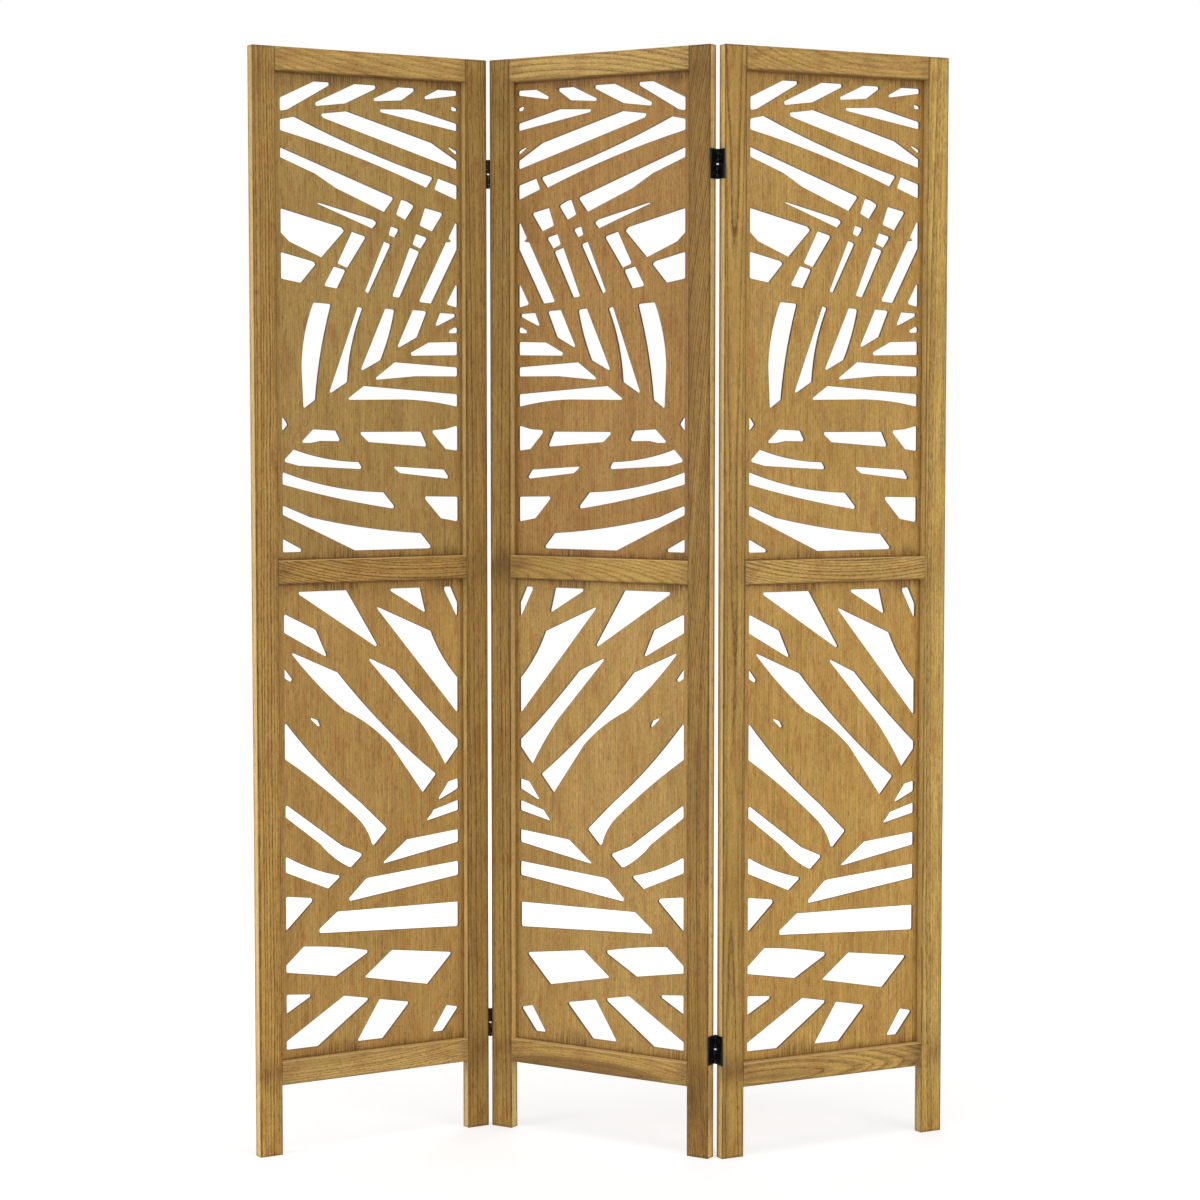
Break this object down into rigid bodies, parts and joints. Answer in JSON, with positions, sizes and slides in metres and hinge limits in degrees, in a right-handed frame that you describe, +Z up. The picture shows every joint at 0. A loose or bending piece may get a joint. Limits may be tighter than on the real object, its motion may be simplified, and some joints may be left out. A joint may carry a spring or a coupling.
{
  "type": "folding room divider",
  "caption": "Folding wooden room screen: framed panels with palm-leaf fretwork boards, hinged in a zigzag by black double-action hinges.",
  "frame": {"origin": "centre of the footprint on the floor, with the screen folded as in the picture", "axes": "+Z up, +X along the screen to the right as seen from its front, +Y from front to back"},
  "size_m": [1.077, 0.2344, 1.7],
  "materials": {
    "frame_wood": "satin honey-brown stain with open grain",
    "fretwork_wood": "satin brown stain, darker sawn edges",
    "dowel_wood": "raw turned wood",
    "hinge_black": "semi-gloss black",
    "black_steel": "blackened steel"
  },
  "bodies": {
    "left_panel": {"left_fold_bottom_hinge_left_leaf": "hinge_black", "left_fold_bottom_hinge_lower_link": "hinge_black", "left_fold_top_hinge_left_leaf": "hinge_black", "left_fold_top_hinge_lower_link": "hinge_black", "left_panel_bottom_rail": "frame_wood", "left_panel_dowels": "dowel_wood", "left_panel_hinge_pins": "black_steel", "left_panel_hinge_screws": "black_steel", "left_panel_left_stile": "frame_wood", "left_panel_lower_fretwork": "fretwork_wood", "left_panel_middle_rail": "frame_wood", "left_panel_right_stile": "frame_wood", "left_panel_top_rail": "frame_wood", "left_panel_upper_fretwork": "fretwork_wood"},
    "middle_panel": {"left_fold_bottom_hinge_middle_leaf": "hinge_black", "left_fold_bottom_hinge_upper_link": "hinge_black", "left_fold_top_hinge_middle_leaf": "hinge_black", "left_fold_top_hinge_upper_link": "hinge_black", "middle_panel_bottom_rail": "frame_wood", "middle_panel_dowels": "dowel_wood", "middle_panel_hinge_pins": "black_steel", "middle_panel_hinge_screws": "black_steel", "middle_panel_left_stile": "frame_wood", "middle_panel_lower_fretwork": "fretwork_wood", "middle_panel_middle_rail": "frame_wood", "middle_panel_right_stile": "frame_wood", "middle_panel_top_rail": "frame_wood", "middle_panel_upper_fretwork": "fretwork_wood", "right_fold_bottom_hinge_middle_leaf": "hinge_black", "right_fold_bottom_hinge_upper_link": "hinge_black", "right_fold_top_hinge_middle_leaf": "hinge_black", "right_fold_top_hinge_upper_link": "hinge_black"},
    "right_panel": {"right_fold_bottom_hinge_lower_link": "hinge_black", "right_fold_bottom_hinge_right_leaf": "hinge_black", "right_fold_top_hinge_lower_link": "hinge_black", "right_fold_top_hinge_right_leaf": "hinge_black", "right_panel_bottom_rail": "frame_wood", "right_panel_dowels": "dowel_wood", "right_panel_hinge_pins": "black_steel", "right_panel_hinge_screws": "black_steel", "right_panel_left_stile": "frame_wood", "right_panel_lower_fretwork": "fretwork_wood", "right_panel_middle_rail": "frame_wood", "right_panel_right_stile": "frame_wood", "right_panel_top_rail": "frame_wood", "right_panel_upper_fretwork": "fretwork_wood"}
  },
  "joints": [
    {"name": "left_fold", "type": "hinge", "parent": "middle_panel", "child": "left_panel", "pos_m": [-0.18309, 0.09711, 0], "axis": [0, 0, 1], "range_deg": [-62.2, 117.8]},
    {"name": "right_fold", "type": "hinge", "parent": "middle_panel", "child": "right_panel", "pos_m": [0.17117, -0.09641, 0], "axis": [0, 0, 1], "range_deg": [-58.3, 121.7]}
  ]
}
